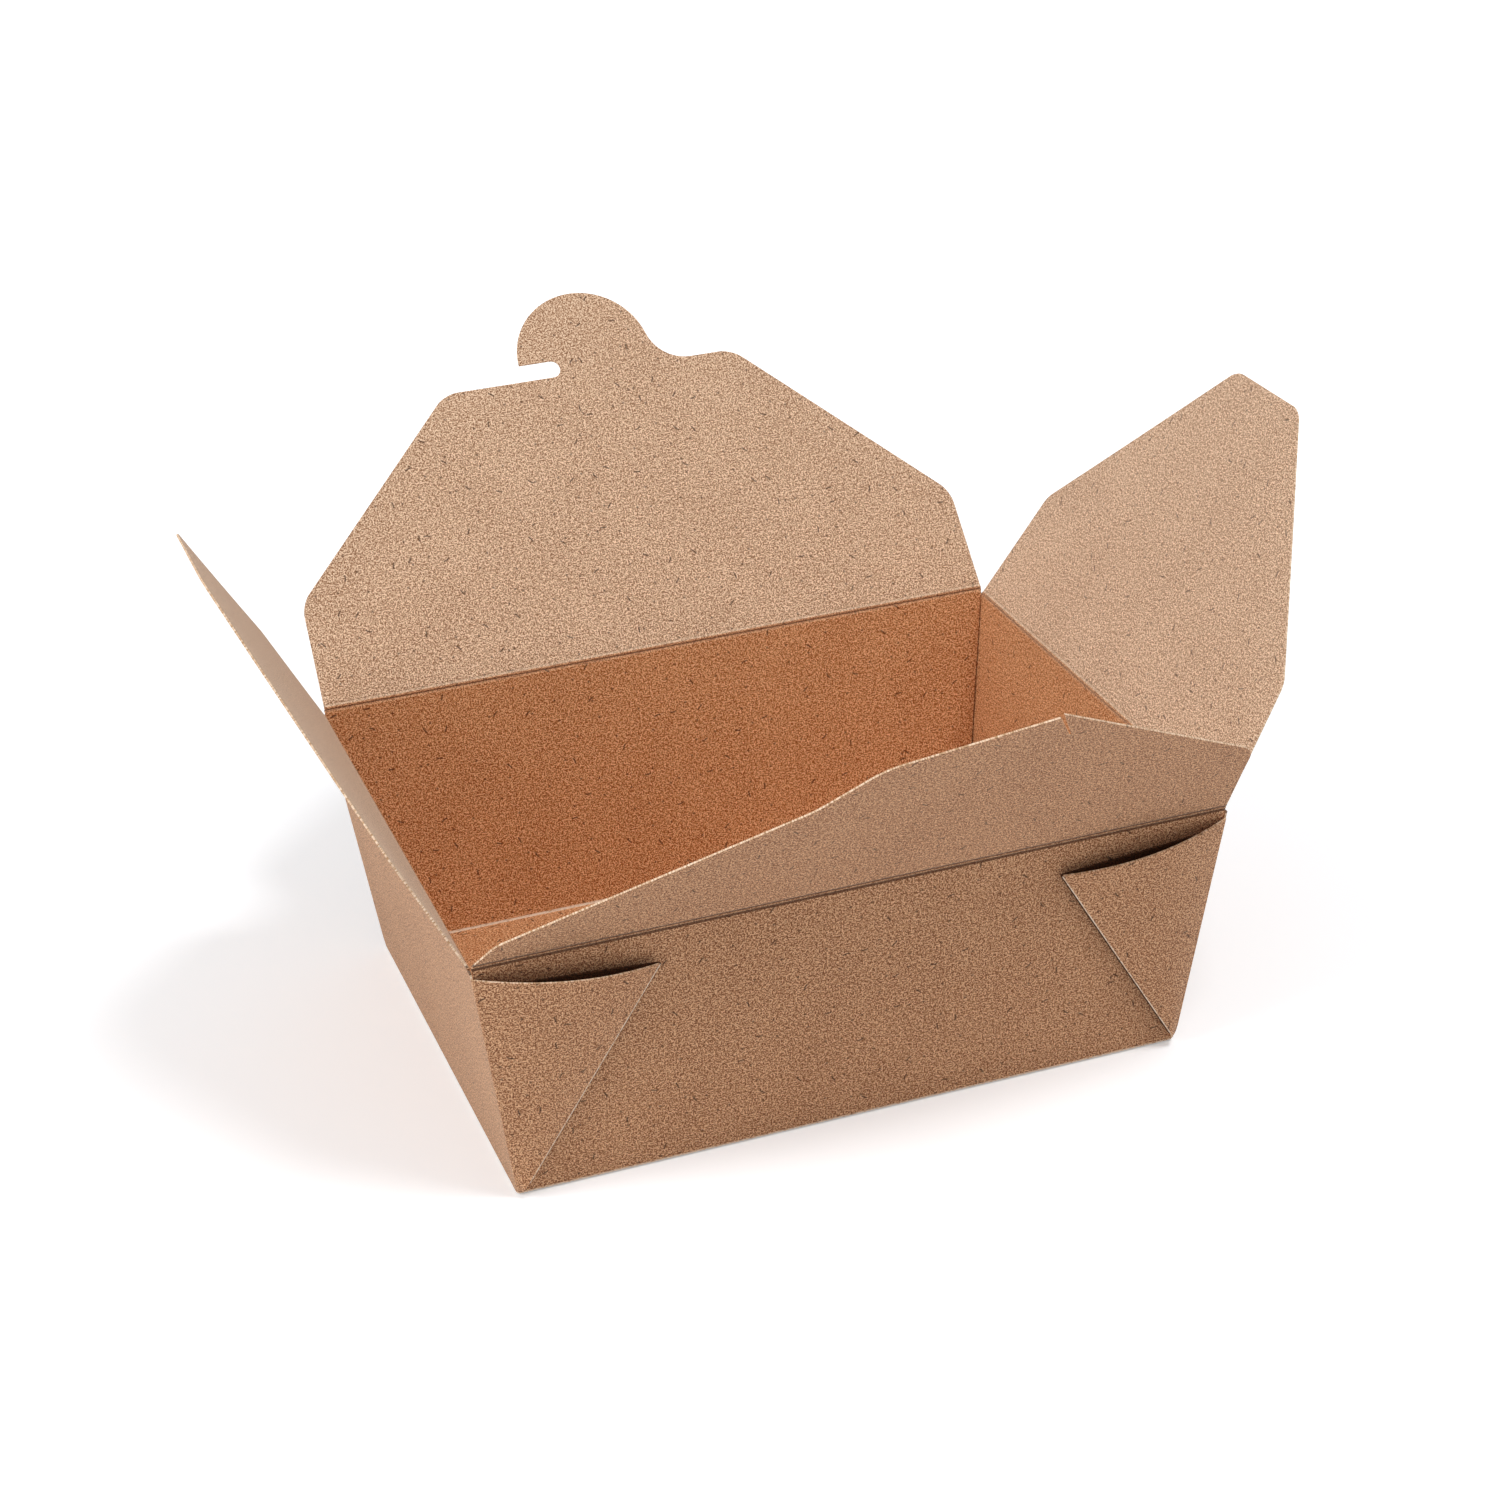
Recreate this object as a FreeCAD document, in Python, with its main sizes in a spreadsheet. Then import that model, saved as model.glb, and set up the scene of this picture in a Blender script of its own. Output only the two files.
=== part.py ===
# Takeaway box: a carton folded from one die-cut sheet of kraft board.
# Millimetres. X runs along the long front wall, Y from the front to the back, Z up.
# The origin is the middle of the bottom face, which rests on the table.
import FreeCAD, Part
import math
import os
import re
import Sketcher

from FreeCAD import Rotation, Vector

SIZES = {
    # The folded tray, measured on its outer faces.
    "base_length": 156.0,
    "base_width": 116.0,
    "top_length": 172.0,
    "top_width": 132.0,
    "height": 63.0,
    # The sheet, and the gaps that let its parts move and lie on each other.
    "board": 0.45,
    "layer_gap": 0.25,
    "fold_gap": 0.2,
    "corner_slit": 0.2,
    "end_clearance": 0.5,
    "long_clearance": 0.8,
    # The corner webs, folded double and glued to the long walls.
    "web_fold_length": 64.0,
    "web_corner_drop": 1.2,
    "web_start": 5.0,
    "web_gap": 0.2,
    "web_bow": 2.0,
    # The back flap, with its round hook tab.
    "back_lean_angle": 41.0,
    "back_shoulder_height": 26.5,
    "back_shoulder_inset": 0.6,
    "back_top_half": 37.8,
    "back_reach": 74.0,
    "hook_radius": 17.4,
    "hook_root_radius": 10.0,
    "notch_width": 4.4,
    "notch_depth": 10.2,
    "long_corner_radius": 8.0,
    # The front flap, with the raised edge and the slit that take the hook tab.
    "front_lean_angle": 33.0,
    "front_hook_shoulder": 24.0,
    "front_step_shoulder": 7.0,
    "front_step_inset": 4.6,
    "front_shoulder_inset": 0.6,
    "front_step_start": 17.0,
    "front_step_reach": 36.0,
    "front_step_end": 4.0,
    "front_edge_reach": 47.0,
    "front_reach": 54.0,
    "step_radius": 14.0,
    "slit_place": 32.0,
    "slit_slant": 4.0,
    "slit_depth": 8.0,
    "slit_width": 0.4,
    "barb_height": 1.2,
    # The two end flaps.
    "left_lean_angle": 27.0,
    "right_lean_angle": 33.0,
    "end_shoulder_height": 29.5,
    "end_shoulder_half": 60.6,
    "end_top_half": 14.5,
    "end_reach": 81.0,
    "end_corner_radius": 6.0,
}

# Two points nearer than this are one place.
SAME_PLACE = 0.01

# How a sketch numbers its origin, and the points of a line or an arc.
ORIGIN = (-1, 1)
START, END, CENTRE = 1, 2, 3

doc = FreeCAD.newDocument("takeaway_box")
sheet = doc.addObject("Spreadsheet::Sheet", "Sizes")
sheet.Label = "sizes"
for row, (alias, value) in enumerate(SIZES.items(), start=1):
    sheet.set(f"A{row}", alias)
    sheet.set(f"B{row}", str(value))
    sheet.setAlias(f"B{row}", alias)
doc.recompute()


def size(alias):
    return float(getattr(sheet, alias))


# The walls lean out from the floor, so each long wall and each end wall has a slant.
height = size("height")
board = size("board")
end_run = (size("top_length") - size("base_length")) / 2
long_run = (size("top_width") - size("base_width")) / 2
long_slant = math.hypot(height, long_run)
end_slant = math.hypot(height, end_run)

# A closed flap lies one board and one gap above the flap below it: the end flaps
# lie lowest, then the front flap, then the back flap, so the folds are stepped.
layer = board + size("layer_gap")
back_fold = height
front_fold = height - layer
end_fold = height - 2 * layer
wall_below_fold = board / 2 + size("fold_gap")


def slant_point(along, up, out, run, slant, half_depth):
    """A point of a wall: along it, up its slope and out from its outer face."""
    unit_run = run / slant
    unit_rise = height / slant
    depth = half_depth + up * unit_run + out * unit_rise
    rise = up * unit_rise - out * unit_run
    return Vector(along, -depth, rise)


def long_point(along, up, out):
    return slant_point(along, up, out, long_run, long_slant, size("base_width") / 2)


def end_point(along, up, out):
    return slant_point(along, up, out, end_run, end_slant, size("base_length") / 2)


def plate(place, outline, out, thickness):
    """A flat piece of board: an outline in a wall's plane, made thick outwards."""
    corners = [place(along, up, out) for along, up in outline]
    lift = place(0, 0, out + thickness) - place(0, 0, out)
    face = Part.Face(Part.makePolygon(corners + corners[:1]))
    return face.extrude(lift)


def floor_panel():
    """The floor, with edges that slope as the walls do."""
    rings = []
    for level in (0.0, board):
        half_x = size("base_length") / 2 + end_run * level / height
        half_y = size("base_width") / 2 + long_run * level / height
        ring = [
            Vector(-half_x, -half_y, level),
            Vector(half_x, -half_y, level),
            Vector(half_x, half_y, level),
            Vector(-half_x, half_y, level),
        ]
        rings.append(Part.makePolygon(ring + ring[:1]))
    return Part.makeLoft(rings, True, True)


# A long wall stops short of the end walls by a slit, the mouth of the folded web.
long_inset = board * end_slant / height + size("corner_slit")
# An end wall runs past the long wall by both layers of the web.
web_stack = 2 * board + size("web_gap")
end_overlap = web_stack * long_slant / height


def long_wall(fold):
    """The front or back wall, up to just below its flap's fold."""
    top = (fold - wall_below_fold) * long_slant / height
    half_base = size("base_length") / 2 - long_inset
    half_top = half_base + end_run * top / long_slant
    outline = [(-half_base, 0), (half_base, 0), (half_top, top), (-half_top, top)]
    return plate(long_point, outline, 0, -board)


def end_wall():
    """An end wall, wider than the tray where the webs leave it."""
    top = (end_fold - wall_below_fold) * end_slant / height
    start = size("web_start")
    half_base = size("base_width") / 2
    half_start = half_base + long_run * start / end_slant + end_overlap
    half_top = half_base + long_run * top / end_slant + end_overlap
    outline = [
        (-half_base, 0),
        (half_base, 0),
        (half_start, start),
        (half_top, top),
        (-half_top, top),
        (-half_start, start),
    ]
    return plate(end_point, outline, 0, -board)


def corner_web(side):
    """One corner web: two layers of board that meet at a slanting fold.

    The inner layer lies glued to the long wall. The outer layer comes from the
    end wall and bows away from the inner one at its free top edge.
    """
    corner = size("base_length") / 2
    long_splay = math.atan(end_run / long_slant)
    end_splay = math.atan(long_run / end_slant)
    web_angle = math.pi / 2 - long_splay - end_splay
    fold_angle = web_angle / 2 - long_splay

    def on_corner(distance, inset=0.0):
        along = corner + distance * math.sin(long_splay) - inset
        return side * along, distance * math.cos(long_splay)

    def on_fold(distance, inset=0.0):
        along = corner - distance * math.sin(fold_angle) + inset
        return side * along, distance * math.cos(fold_angle)

    start = size("web_start")
    corner_length = (end_fold - wall_below_fold - size("web_corner_drop")) * long_slant / height
    tip = size("web_fold_length")
    inner = plate(
        long_point,
        [on_corner(start, long_inset), on_corner(corner_length, long_inset), on_fold(tip), on_fold(start)],
        0,
        board,
    )
    fold_width = board / math.cos(fold_angle)
    fold = plate(
        long_point,
        [on_fold(start), on_fold(tip), on_fold(tip - fold_width, fold_width), on_fold(start, fold_width)],
        0,
        web_stack,
    )
    outer_level = board + size("web_gap")
    corner_top = long_point(*on_corner(corner_length), outer_level)
    fold_top = long_point(*on_fold(tip), outer_level)
    bow = long_point(0, 0, outer_level + size("web_bow")) - long_point(0, 0, outer_level)
    crown = (corner_top + fold_top) / 2 + bow
    free_edge = Part.Arc(corner_top, crown, fold_top).toShape()
    corner_foot = long_point(*on_corner(start), outer_level)
    fold_foot = long_point(*on_fold(start), outer_level)
    foot = Part.LineSegment(corner_foot, fold_foot).toShape()
    thickness = long_point(*on_fold(tip), outer_level + board) - fold_top
    outer = Part.makeRuledSurface(foot, free_edge).extrude(thickness)
    return [inner, fold, outer]


def turned(solid, angle):
    copy = solid.copy()
    copy.rotate(Vector(0, 0, 0), Vector(0, 0, 1), angle)
    return copy


def folded_tray():
    """The floor, the four walls and the four webs, all one sheet."""
    pieces = [floor_panel()]
    for angle, fold in ((0, front_fold), (180, back_fold)):
        pieces.append(turned(long_wall(fold), angle))
        for side in (-1, 1):
            pieces.extend(turned(solid, angle) for solid in corner_web(side))
    for angle in (90, 270):
        pieces.append(turned(end_wall(), angle))
    return pieces[0].multiFuse(pieces[1:]).removeSplitter()


def named(words):
    """An expression on the sizes, with each name in brackets made a cell's name."""
    return re.sub(r"\[(\w+)\]", r"Sizes.\1", words)


def worth(words):
    return float(sheet.evalExpression(named(words)))


def bind(sketch, kind, where, words):
    """Hold a measure of a sketch at a value that follows the sizes."""
    index = sketch.addConstraint(Sketcher.Constraint(kind, *where, worth(words)))
    sketch.setExpression(f"Constraints[{index}]", named(words))


def hold(sketch, item, point, x="", y=""):
    """Hold a point of a sketch at a place, from its origin, that follows the sizes."""
    for kind, words in (("DistanceX", x), ("DistanceY", y)):
        if words:
            bind(sketch, kind, (*ORIGIN, item, point), words)


def join(sketch, first, first_point, second, second_point):
    sketch.addConstraint(Sketcher.Constraint("Coincident", first, first_point, second, second_point))


def flat_sketch(body, name):
    """An empty sketch on the body's own flat plane."""
    sketch = body.newObject("Sketcher::SketchObject", name)
    plane = next(item for item in body.Origin.OriginFeatures if item.Role == "XY_Plane")
    sketch.AttachmentSupport = [(plane, "")]
    sketch.MapMode = "FlatFace"
    return sketch


def board_pad(body, name, sketch):
    """A sketch made as thick as the board."""
    pad = body.newObject("PartDesign::Pad", name)
    pad.Profile = sketch
    pad.setExpression("Length", "Sizes.board")
    doc.recompute()
    return pad


def flap_plate(name, points):
    """A flap's flat board in a body of its own, with straight edges between its corners."""
    body = doc.addObject("PartDesign::Body", name)
    sketch = flat_sketch(body, f"{name}_outline")
    places = [Vector(worth(x), worth(y), 0) for x, y in points]
    for first, second in zip(places, places[1:] + places[:1]):
        sketch.addGeometry(Part.LineSegment(first, second))
    for edge, (x, y) in enumerate(points):
        join(sketch, edge, END, (edge + 1) % len(points), START)
        hold(sketch, edge, START, x, y)
    return body, board_pad(body, f"{name}_board", sketch), places


def rounded(body, base, places, radius, name):
    """Round the upright edges of a flat board that stand at the given places."""

    def apart(one, other):
        return math.hypot(one.x - other.x, one.y - other.y)

    edges = []
    for number, edge in enumerate(base.Shape.Edges, start=1):
        ends = [vertex.Point for vertex in edge.Vertexes]
        upright = len(ends) == 2 and apart(*ends) < SAME_PLACE
        if upright and any(apart(ends[0], place) < SAME_PLACE for place in places):
            edges.append(f"Edge{number}")
    fillet = body.newObject("PartDesign::Fillet", name)
    fillet.Base = (base, edges)
    fillet.setExpression("Radius", named(radius))
    doc.recompute()
    return fillet


def swing_out(body, turn, half_depth, run, fold, lean):
    """Stand a flap on its fold, turned to its wall and leaning out as in the picture."""
    # The fold lies in the middle of the wall's thickness, and of the flap's.
    depth = half_depth + run * fold / height - board / 2
    facing = Rotation(Vector(0, 0, 1), turn)
    leaning = Rotation(Vector(1, 0, 0), 90 - lean)
    rotation = facing.multiply(leaning)
    half_board = rotation.multVec(Vector(0, 0, -board / 2))
    body.Placement = FreeCAD.Placement(facing.multVec(Vector(0, depth, fold)) + half_board, rotation)


LONG_ROOT = "[top_length] / 2 - [long_clearance]"
BACK_SHOULDER = f"{LONG_ROOT} - [back_shoulder_inset]"
FRONT_SHOULDER = f"{LONG_ROOT} - [front_shoulder_inset]"
STEP_SHOULDER = f"{LONG_ROOT} - [front_step_inset]"
END_ROOT = "[top_width] / 2 - [board] - [end_clearance]"


def draw_hook(tab):
    """The hook tab: a round head on a neck, with a notch on one side and a hollow on the other."""
    edge_words = "[back_reach]"
    lip_words = "[back_reach] + [notch_width]"
    root_words = "[back_reach] - [notch_width]"
    neck_words = "[notch_depth] - [hook_radius] - [notch_width] / 2"
    reach_words = "([hook_radius] + [hook_root_radius]) ^ 2"
    rise_words = "([notch_width] - [hook_root_radius]) ^ 2"
    hollow_words = f"sqrt({reach_words} - {rise_words})"

    head = size("hook_radius")
    hollow = size("hook_root_radius")
    notch_half = size("notch_width") / 2
    edge = worth(edge_words)
    lip = worth(lip_words)
    root = worth(root_words)
    neck = worth(neck_words)
    hollow_end = worth(hollow_words)
    head_centre = Vector(0, lip, 0)
    notch_centre = Vector(neck, edge + notch_half, 0)
    hollow_centre = Vector(hollow_end, edge + hollow, 0)
    lean = math.atan2(hollow_centre.y - lip, hollow_centre.x)
    quarter = math.pi / 2

    def arc(centre, radius, start, end):
        circle = Part.Circle(centre, Vector(0, 0, 1), radius)
        return tab.addGeometry(Part.ArcOfCircle(circle, start, end))

    def line(*ends):
        first, second = (Vector(x, y, 0) for x, y in ends)
        return tab.addGeometry(Part.LineSegment(first, second))

    head_arc = arc(head_centre, head, lean, math.pi)
    lip_edge = line((-head, lip), (neck, lip))
    notch_arc = arc(notch_centre, notch_half, -quarter, quarter)
    left_edge = line((neck, edge), (neck, root))
    root_edge = line((neck, root), (hollow_end, root))
    right_edge = line((hollow_end, root), (hollow_end, edge))
    hollow_arc = arc(hollow_centre, hollow, lean + math.pi, 3 * quarter)

    join(tab, head_arc, END, lip_edge, START)
    join(tab, lip_edge, END, notch_arc, END)
    join(tab, notch_arc, START, left_edge, START)
    join(tab, left_edge, END, root_edge, START)
    join(tab, root_edge, END, right_edge, START)
    join(tab, right_edge, END, hollow_arc, END)
    tab.addConstraint(Sketcher.Constraint("Tangent", hollow_arc, START, head_arc, START))

    hold(tab, head_arc, CENTRE, "0", lip_words)
    bind(tab, "Radius", (head_arc,), "[hook_radius]")
    hold(tab, lip_edge, START, y=lip_words)
    hold(tab, lip_edge, END, neck_words, lip_words)
    hold(tab, notch_arc, CENTRE, neck_words, "[back_reach] + [notch_width] / 2")
    hold(tab, left_edge, START, neck_words)
    hold(tab, root_edge, START, neck_words, root_words)
    hold(tab, root_edge, END, hollow_words, root_words)
    hold(tab, hollow_arc, END, hollow_words, edge_words)
    bind(tab, "Radius", (hollow_arc,), "[hook_root_radius]")


def back_flap():
    """The back flap: a wide trapezium whose far edge carries the hook tab."""
    points = [
        (f"-({LONG_ROOT})", "0"),
        (LONG_ROOT, "0"),
        (BACK_SHOULDER, "[back_shoulder_height]"),
        ("[back_top_half]", "[back_reach]"),
        ("-[back_top_half]", "[back_reach]"),
        (f"-({BACK_SHOULDER})", "[back_shoulder_height]"),
    ]
    body, pad, places = flap_plate("back_flap", points)
    rounded(body, pad, places[2:], "[long_corner_radius]", "back_flap_corners")
    tab = flat_sketch(body, "hook_outline")
    draw_hook(tab)
    body.Tip = board_pad(body, "hook_tab", tab)
    swing_out(body, 0, size("base_width") / 2, long_run, back_fold, size("back_lean_angle"))


def front_flap():
    """The front flap, shorter than the back one, with a stepped edge and a slit for the hook tab.

    The outline is drawn from inside the box, so the step is on its right.
    """
    mouth = "-[slit_place]"
    foot = "-([slit_place] + [slit_slant])"
    points = [
        (f"-({LONG_ROOT})", "0"),
        (LONG_ROOT, "0"),
        (STEP_SHOULDER, "[front_step_shoulder]"),
        ("[front_step_start]", "[front_step_reach]"),
        ("[front_step_end]", "[front_edge_reach]"),
        (mouth, "[front_reach]"),
        (foot, "[front_reach] - [slit_depth]"),
        (f"{foot} - [slit_width]", "[front_reach] - [slit_depth]"),
        (f"{mouth} - [slit_width]", "[front_reach] + [barb_height]"),
        (f"-({FRONT_SHOULDER})", "[front_hook_shoulder]"),
    ]
    body, pad, places = flap_plate("front_flap", points)
    shoulders = [places[2], places[-1]]
    corners = rounded(body, pad, shoulders, "[end_corner_radius]", "front_flap_corners")
    body.Tip = rounded(body, corners, places[3:5], "[step_radius]", "front_flap_step")
    swing_out(body, 180, size("base_width") / 2, long_run, front_fold, size("front_lean_angle"))


def end_flap(name, turn, lean):
    """An end flap: a tapering trapezium that reaches almost to the middle of the box."""
    points = [
        (f"-({END_ROOT})", "0"),
        (END_ROOT, "0"),
        ("[end_shoulder_half]", "[end_shoulder_height]"),
        ("[end_top_half]", "[end_reach]"),
        ("-[end_top_half]", "[end_reach]"),
        ("-[end_shoulder_half]", "[end_shoulder_height]"),
    ]
    body, pad, places = flap_plate(name, points)
    body.Tip = rounded(body, pad, places[2:], "[end_corner_radius]", f"{name}_corners")
    swing_out(body, turn, size("base_length") / 2, end_run, end_fold, lean)


tray = doc.addObject("Part::Feature", "tray")
tray.Shape = folded_tray()

back_flap()
front_flap()
end_flap("left_end_flap", 90, size("left_lean_angle"))
end_flap("right_end_flap", -90, size("right_lean_angle"))
doc.recompute()

for item in doc.Objects:
    if "Invalid" in item.State or "Error" in item.State:
        raise RuntimeError(f"{item.Label} failed: {item.State}")

os.makedirs("parts", exist_ok=True)
for node in ("tray", "back_flap", "front_flap", "left_end_flap", "right_end_flap"):
    item = doc.getObject(node)
    item.Label = node
    shape = item.Shape
    if shape.isNull() or not shape.isValid() or len(shape.Solids) != 1:
        raise RuntimeError(f"{node} is not one sound solid")
    box = shape.BoundBox
    print(
        f"{node}: volume {shape.Volume:.1f}, x {box.XMin:.2f} {box.XMax:.2f}, "
        f"y {box.YMin:.2f} {box.YMax:.2f}, z {box.ZMin:.2f} {box.ZMax:.2f}"
    )
    shape.exportStep(f"parts/{node}.step")
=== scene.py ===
import math
from functools import partial

import bmesh
import bpy
from mathutils import Matrix, Vector


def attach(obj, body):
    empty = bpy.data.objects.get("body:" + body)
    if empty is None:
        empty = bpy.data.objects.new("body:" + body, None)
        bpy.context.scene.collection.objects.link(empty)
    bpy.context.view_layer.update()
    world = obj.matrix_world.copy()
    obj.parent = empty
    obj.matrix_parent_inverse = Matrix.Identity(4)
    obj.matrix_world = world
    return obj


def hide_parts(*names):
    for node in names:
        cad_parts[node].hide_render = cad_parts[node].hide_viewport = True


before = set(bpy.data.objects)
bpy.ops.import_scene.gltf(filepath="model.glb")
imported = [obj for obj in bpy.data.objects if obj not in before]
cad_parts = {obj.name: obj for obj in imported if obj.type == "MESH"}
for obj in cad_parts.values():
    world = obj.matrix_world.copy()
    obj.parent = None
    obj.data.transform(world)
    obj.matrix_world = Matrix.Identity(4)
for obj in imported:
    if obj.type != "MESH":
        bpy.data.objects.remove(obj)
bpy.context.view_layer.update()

# Takeaway box, folded from one sheet of kraft board. The board is drawn in millimetres, as in
# the CAD model, and each finished mesh is scaled to metres. X runs along the long front wall,
# Y from the front to the back, Z up, and the bottom face rests on the table.
MM = 0.001

# The tray: half its length and width at the base, its height, and how far a wall leans out.
HALF_LENGTH = 78.0
HALF_WIDTH = 58.0
HEIGHT = 63.0
FLARE = 8.0
BOARD = 0.45
SLANT = math.hypot(HEIGHT, FLARE)
LEAN = math.atan(FLARE / HEIGHT)

# The folds step down by a layer, so that the closed flaps stack. Each wall stops a little
# under its fold, and a long wall stops a little short of the corner.
LAYER = 0.7
BACK_FOLD = HEIGHT
FRONT_FOLD = HEIGHT - LAYER
END_FOLD = HEIGHT - 2 * LAYER
WALL_BELOW_FOLD = 0.425
CORNER_SLIT = 0.65

# The creases of the floor are rounded, and so are the upright corners. A corner goes over from
# the crease's radius to its own a little above the floor.
FLOOR_CREASE_RADIUS = 0.9
CREASE_STEPS = 6
CORNER_RADIUS = 0.7
CORNER_STEPS = 6
CORNER_FOOT = 0.8
CORNER_CHANGE = 4.0
FOLD_TURN = math.pi / 2 - LEAN
FLOOR_SETBACK = FLOOR_CREASE_RADIUS * math.tan(FOLD_TURN / 2)
FLOOR_HALF_X = HALF_LENGTH - FLOOR_SETBACK
FLOOR_HALF_Y = HALF_WIDTH - FLOOR_SETBACK
FLOOR_STRIP_TOP = FLOOR_CREASE_RADIUS * (1 - math.cos(FOLD_TURN))

# The corner webs, folded double: their slanting fold, how far the outer layer stands off the
# inner one and the wall, and how far its free edge bows out.
WEB_SPLAY = math.atan(FLARE / SLANT)
WEB_FOLD_ANGLE = math.pi / 4 - 2 * WEB_SPLAY
WEB_FOLD_LENGTH = 64.0
WEB_TOP = 59.5
WEB_STACK = 0.96
WEB_LIFT = 3.4
WEB_GAP = 1.3
WEB_BOW = 3.4
WEB_BOW_START = 4.0
WEB_INNER_DROP = 2.5
WEB_COLUMNS = 12
WEB_LAYER_START = 4.5
WEB_ROWS = (1.4, 2.2, 3.2, 4.6, 6.0, 9.0, 14.0, 20.0, 26.0, 32.0, 38.0, 44.0, 50.0, 55.0, WEB_TOP)
GLUE_LINE = 0.02

# The flaps, as in the CAD model: half of each fold's length, and the lean out from upright
# in the photographed pose. A side's facing is its turn about Z from the back.
LONG_ROOT = 85.2
END_ROOT = 65.05
BACK_FLAP_LEAN = 41.0
FRONT_FLAP_LEAN = 33.0
LEFT_FLAP_LEAN = 27.0
RIGHT_FLAP_LEAN = 33.0
TO_BACK = 0
TO_FRONT = 180
TO_LEFT = 90
TO_RIGHT = -90
CURL_STEP = 8.0
BEAD_RADIUS = 0.36
BEAD_EDGE = 0.12
SOFT_EDGE = 0.07

# The double score beside a flap's fold: the raised line's distance, and each groove's reach.
SCORE_PLACE = 0.64
GROOVE_FROM = 0.2
GROOVE_TO = 0.38

# The board's patterns, by the size of one grain of each.
MOTTLE_SIZE = 0.55
GRAIN_SIZE = 0.32
CLOUD_SIZE = 20.0
CRACK_SIZE = 1.6
RELIEF = 0.18

# Each panel's pattern starts far from the others', so no fibre runs on across a fold.
FAR = 400.0

# The floor's glow in the camera's eye, which grows with the distance from the box (in metres),
# and the room's own light on the box.
FLOOR_HALF_SIZE = 3.0
FLOOR_GLOW = 0.27
FAR_GLOW = 0.9
GLOW_FROM = 0.25
GLOW_TO = 0.8
ROOM_LIGHT = 0.46

# The colour sockets of a Mix node.
MIX_A = 6
MIX_B = 7
MIX_RESULT = 2


# Board: one small function adds a node, and the rest describe the kraft board.

def linear(code):
    """A colour written as sRGB hex, as linear RGBA."""
    parts = [int(code[i:i + 2], 16) / 255 for i in (1, 3, 5)]
    low = 0.04045
    return [p / 12.92 if p <= low else ((p + 0.055) / 1.055) ** 2.4 for p in parts] + [1.0]


def add_node(tree, kind, *inputs, **settings):
    """Add a node with its settings. Each input is a socket and a number, a socket or a node."""
    made = tree.nodes.new(kind)
    for name, value in settings.items():
        setattr(made, name, value)
    for socket, value in inputs:
        if isinstance(value, bpy.types.Node):
            value = value.outputs[0]
        if isinstance(value, bpy.types.NodeSocket):
            tree.links.new(value, made.inputs[socket])
        else:
            made.inputs[socket].default_value = value
    return made


def hairs(tree, sheet, cell, length, width, share, bend, shift):
    """A mask of short curved hairs, at most one in each cell of a random pattern."""
    add = partial(add_node, tree)
    moved = add("ShaderNodeVectorMath", (0, sheet), (1, (shift, shift, 0.0)), operation="ADD")
    cells = add(
        "ShaderNodeTexVoronoi", ("Vector", moved), ("Scale", 1 / cell),
        voronoi_dimensions="2D", feature="F1",
    )
    centre = cells.outputs["Position"]
    off = add("ShaderNodeVectorMath", (0, moved), (1, centre), operation="SUBTRACT")
    local = add("ShaderNodeVectorMath", (0, off), ("Scale", 1 / cell), operation="SCALE")
    chance = add("ShaderNodeSeparateColor", ("Color", cells.outputs["Color"]))
    angle = add("ShaderNodeMath", (0, chance.outputs[0]), (1, 2 * math.pi), operation="MULTIPLY")
    turned = add(
        "ShaderNodeVectorRotate", ("Vector", local), ("Angle", angle), rotation_type="Z_AXIS"
    )
    part = add("ShaderNodeSeparateXYZ", (0, turned))
    along = add("ShaderNodeMath", (0, part.outputs[0]), operation="ABSOLUTE")
    square = add("ShaderNodeMath", (0, along), (1, 2.0), operation="POWER")
    curve = add(
        "ShaderNodeMath", (0, square), (1, bend), (2, part.outputs[1]), operation="MULTIPLY_ADD"
    )
    across = add("ShaderNodeMath", (0, curve), operation="ABSOLUTE")
    half_length = length / 2 / cell
    half_width = width / 2 / cell
    body = add(
        "ShaderNodeMapRange", ("Value", across), ("From Min", half_width * 0.4),
        ("From Max", half_width * 1.6), ("To Min", 1.0), ("To Max", 0.0),
    )
    ends = add(
        "ShaderNodeMapRange", ("Value", along), ("From Min", half_length * 0.7),
        ("From Max", half_length), ("To Min", 1.0), ("To Max", 0.0),
    )
    present = add("ShaderNodeMath", (0, chance.outputs[1]), (1, share), operation="LESS_THAN")
    whole = add("ShaderNodeMath", (0, body), (1, ends), operation="MULTIPLY")
    return add("ShaderNodeMath", (0, whole), (1, present), operation="MULTIPLY")


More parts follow.
